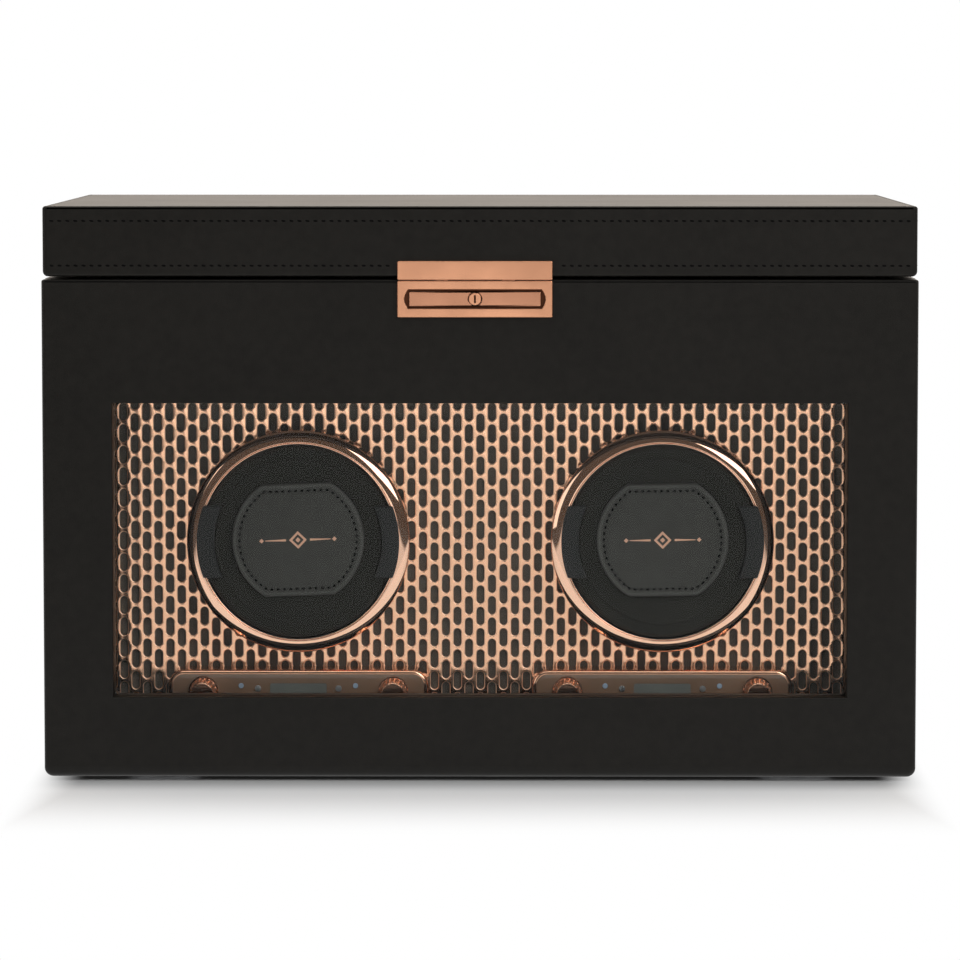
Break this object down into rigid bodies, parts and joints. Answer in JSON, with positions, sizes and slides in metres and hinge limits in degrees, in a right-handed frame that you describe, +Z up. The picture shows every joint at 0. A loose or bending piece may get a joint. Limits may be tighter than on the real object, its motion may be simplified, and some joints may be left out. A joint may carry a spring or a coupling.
{
  "type": "watch winder box",
  "caption": "Leather-covered twin watch winder box with lift-up storage lid, drop-front window door, copper bezels and slotted copper plate.",
  "frame": {"origin": "centre of the underside of the felt base pad, which stands on the table, midway across the width and the depth of the leather-covered body", "axes": "+X to the box's right as seen from the front, +Y to the rear, +Z up; the window door faces -Y"},
  "size_m": [0.33, 0.1964, 0.2176],
  "materials": {
    "leather": "fine matt grain",
    "suede": "soft suede",
    "felt": "dense felt",
    "copper": "polished rose copper plating",
    "copper_plate": "mirror-polished copper-tinted sheet",
    "moulded_black": "fine spark texture",
    "board_black": "black-painted board",
    "steel": "turned",
    "motor_case": "zinc plated",
    "display_lens": "clear gloss over a dark panel",
    "lamp_lens": "milky lens",
    "circuit_board": "solder mask",
    "window_glass": "clear float glass",
    "retainer_black": "satin",
    "cuff_velvet": "short-pile velvet",
    "cuff_leather": "stitched smooth grain",
    "cushion_suede": "soft suede",
    "pinion_nylon": "natural nylon"
  },
  "bodies": {
    "case": {"base_pad": "felt", "base_panel": "leather", "side_panel_left": "leather", "side_panel_right": "leather", "rear_panel": "leather", "front_rail": "leather", "storage_floor": "suede", "pattern_plate": "copper_plate", "plate_backing": "board_black", "drum_housing_left": "moulded_black", "drum_housing_right": "moulded_black", "drum_axle_left": "steel", "drum_axle_right": "steel", "motor_left": "motor_case", "motor_right": "motor_case", "control_panel_left": "copper", "control_panel_right": "copper", "display_left": "display_lens", "display_right": "display_lens", "indicator_lenses": "lamp_lens", "panel_screws": "steel", "knob_switches": "moulded_black", "control_board": "circuit_board", "storage_tray": "suede", "storage_cushions": "cushion_suede", "ring_roll": "cushion_suede", "rear_cover": "moulded_black", "cover_screws": "steel", "power_inlet": "moulded_black", "lid_hinge_leaves": "copper", "door_hinge_leaves": "steel", "hinge_pins": "steel"},
    "lid": {"lid_shell": "leather", "lid_lining": "suede", "lid_hinge_straps": "copper", "latch_strike": "copper"},
    "door": {"door_panel": "leather", "window_glass": "window_glass", "glass_retainer": "retainer_black", "door_hinge_straps": "steel", "latch_plate": "copper", "latch_springs": "steel"},
    "latch_button": {"latch_bar": "copper"},
    "lock": {"lock_plug": "copper"},
    "drum_left": {"drum_cup_left": "moulded_black", "bezel_ring_left": "copper", "cuff_pad_left": "cuff_velvet", "cuff_patch_left": "cuff_leather", "cuff_clips_left": "moulded_black"},
    "pinion_left": {"motor_pinion_left": "pinion_nylon"},
    "drum_right": {"drum_cup_right": "moulded_black", "bezel_ring_right": "copper", "cuff_pad_right": "cuff_velvet", "cuff_patch_right": "cuff_leather", "cuff_clips_right": "moulded_black"},
    "pinion_right": {"motor_pinion_right": "pinion_nylon"},
    "knob_left_outer": {"knob_left_outer": "copper"},
    "knob_left_inner": {"knob_left_inner": "copper"},
    "knob_right_inner": {"knob_right_inner": "copper"},
    "knob_right_outer": {"knob_right_outer": "copper"}
  },
  "joints": [
    {"name": "lid_hinge", "type": "hinge", "parent": "case", "child": "lid", "pos_m": [0, 0.0976, 0.1906], "axis": [-1, 0, 0], "range_deg": [0, 100]},
    {"name": "door_hinge", "type": "hinge", "parent": "case", "child": "door", "pos_m": [0, -0.0905, 0.0059], "axis": [1, 0, 0], "range_deg": [0, 90]},
    {"name": "latch_push", "type": "slide", "parent": "door", "child": "latch_button", "axis": [0, 1, 0], "range_m": [0, 0.0012], "stiffness_N_per_m": 400, "springref_m": -0.0005, "deforming": ["latch_springs"]},
    {"name": "lock_turn", "type": "hinge", "parent": "latch_button", "child": "lock", "pos_m": [-0.0018, -0.094, 0.1828], "axis": [0, 1, 0], "range_deg": [0, 90]},
    {"name": "drum_left_spin", "type": "hinge", "parent": "case", "child": "drum_left", "pos_m": [-0.07, -0.03, 0.088], "axis": [0, 1, 0], "continuous": true},
    {"name": "pinion_left_spin", "type": "hinge", "parent": "case", "child": "pinion_left", "pos_m": [-0.07, 0.002, 0.05672], "axis": [0, 1, 0], "continuous": true},
    {"name": "drum_right_spin", "type": "hinge", "parent": "case", "child": "drum_right", "pos_m": [0.07, -0.03, 0.088], "axis": [0, 1, 0], "continuous": true},
    {"name": "pinion_right_spin", "type": "hinge", "parent": "case", "child": "pinion_right", "pos_m": [0.07, 0.002, 0.05672], "axis": [0, 1, 0], "continuous": true},
    {"name": "knob_left_outer_turn", "type": "hinge", "parent": "case", "child": "knob_left_outer", "pos_m": [-0.1065, -0.065, 0.0305], "axis": [0, 1, 0], "range_deg": [-135, 135]},
    {"name": "knob_left_inner_turn", "type": "hinge", "parent": "case", "child": "knob_left_inner", "pos_m": [-0.0335, -0.065, 0.0305], "axis": [0, 1, 0], "range_deg": [-135, 135]},
    {"name": "knob_right_inner_turn", "type": "hinge", "parent": "case", "child": "knob_right_inner", "pos_m": [0.0335, -0.065, 0.0305], "axis": [0, 1, 0], "range_deg": [-135, 135]},
    {"name": "knob_right_outer_turn", "type": "hinge", "parent": "case", "child": "knob_right_outer", "pos_m": [0.1065, -0.065, 0.0305], "axis": [0, 1, 0], "range_deg": [-135, 135]}
  ],
  "couplings": [
    {"joint": "pinion_left_spin", "follows": "drum_left_spin", "ratio": -4},
    {"joint": "pinion_right_spin", "follows": "drum_right_spin", "ratio": -4}
  ]
}
